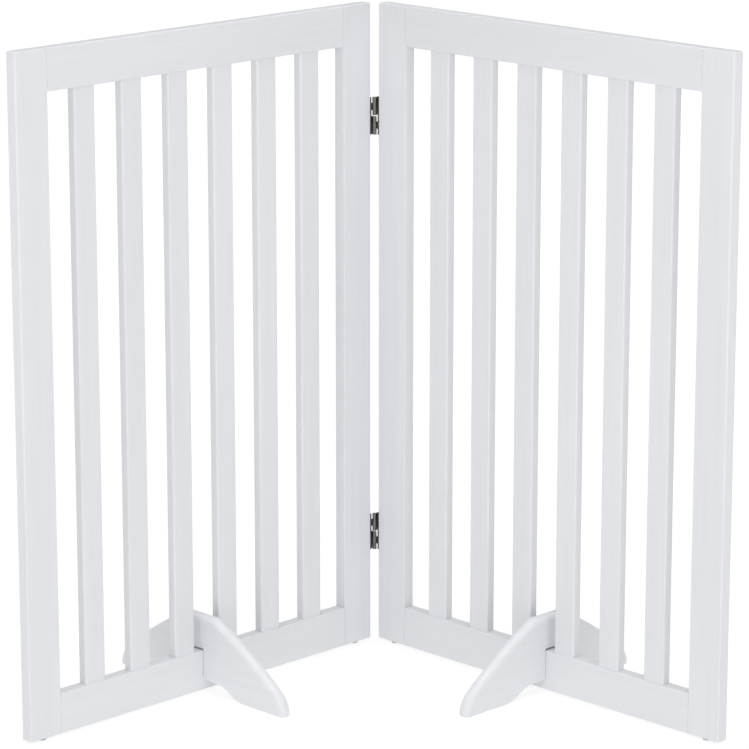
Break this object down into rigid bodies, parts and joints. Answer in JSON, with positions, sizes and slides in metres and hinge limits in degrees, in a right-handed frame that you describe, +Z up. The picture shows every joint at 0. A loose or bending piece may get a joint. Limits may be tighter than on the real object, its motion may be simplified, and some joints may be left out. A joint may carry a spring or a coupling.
{
  "type": "pet gate",
  "caption": "Free-standing folding pet gate of slatted, white-painted wooden panels on double-action hinges, kept upright by slot-on cross feet.",
  "frame": {"origin": "on the floor under the middle of the gate's bounding box, with the panels standing open at a right angle", "axes": "+X to the right across the open V, +Y away from the open side towards the hinges, +Z up"},
  "size_m": [0.9214, 0.4637, 0.914],
  "materials": {
    "painted_wood": "satin white paint over smooth sanded wood",
    "bare_wood": "unpainted hardwood",
    "plated_steel": "nickel plated",
    "glide_plastic": "matte grey nylon"
  },
  "bodies": {
    "upper_links": {"bottom_hinge_upper_back_pin": "plated_steel", "bottom_hinge_upper_front_pin": "plated_steel", "bottom_hinge_upper_link": "plated_steel", "top_hinge_upper_back_pin": "plated_steel", "top_hinge_upper_front_pin": "plated_steel", "top_hinge_upper_link": "plated_steel"},
    "left_panel": {"bottom_hinge_left_leaf": "plated_steel", "bottom_hinge_left_screws": "plated_steel", "left_bottom_rail": "painted_wood", "left_dowels": "bare_wood", "left_glide_nails": "plated_steel", "left_glides": "glide_plastic", "left_inner_stile": "painted_wood", "left_outer_stile": "painted_wood", "left_slat_1": "painted_wood", "left_slat_2": "painted_wood", "left_slat_3": "painted_wood", "left_slat_4": "painted_wood", "left_slat_5": "painted_wood", "left_slat_6": "painted_wood", "left_top_rail": "painted_wood", "top_hinge_left_leaf": "plated_steel", "top_hinge_left_screws": "plated_steel"},
    "right_panel": {"bottom_hinge_right_leaf": "plated_steel", "bottom_hinge_right_screws": "plated_steel", "right_bottom_rail": "painted_wood", "right_dowels": "bare_wood", "right_glide_nails": "plated_steel", "right_glides": "glide_plastic", "right_inner_stile": "painted_wood", "right_outer_stile": "painted_wood", "right_slat_1": "painted_wood", "right_slat_2": "painted_wood", "right_slat_3": "painted_wood", "right_slat_4": "painted_wood", "right_slat_5": "painted_wood", "right_slat_6": "painted_wood", "right_top_rail": "painted_wood", "top_hinge_right_leaf": "plated_steel", "top_hinge_right_screws": "plated_steel"},
    "lower_links": {"bottom_hinge_lower_back_pin": "plated_steel", "bottom_hinge_lower_front_pin": "plated_steel", "bottom_hinge_lower_link": "plated_steel", "top_hinge_lower_back_pin": "plated_steel", "top_hinge_lower_front_pin": "plated_steel", "top_hinge_lower_link": "plated_steel"},
    "left_foot": {"left_foot": "painted_wood"},
    "right_foot": {"right_foot": "painted_wood"}
  },
  "joints": [
    {"name": "fold_front", "type": "hinge", "parent": "upper_links", "child": "left_panel", "pos_m": [0, 0.21471, 0.4585], "axis": [0, 0, -1], "range_deg": [-30, 90]},
    {"name": "fold_back", "type": "hinge", "parent": "upper_links", "child": "right_panel", "pos_m": [0.01414, 0.22885, 0.4585], "axis": [0, 0, 1], "range_deg": [0, 120]},
    {"name": "lower_links_swing", "type": "hinge", "parent": "left_panel", "child": "lower_links", "pos_m": [-0.01414, 0.22885, 0.4585], "axis": [0, 0, 1], "range_deg": [0, 120]},
    {"name": "left_foot_lift", "type": "slide", "parent": "left_panel", "child": "left_foot", "axis": [0, 0, 1], "range_m": [0, 0.045]},
    {"name": "right_foot_lift", "type": "slide", "parent": "right_panel", "child": "right_foot", "axis": [0, 0, 1], "range_m": [0, 0.045]}
  ],
  "couplings": [
    {"joint": "lower_links_swing", "follows": "fold_back", "ratio": 1}
  ]
}
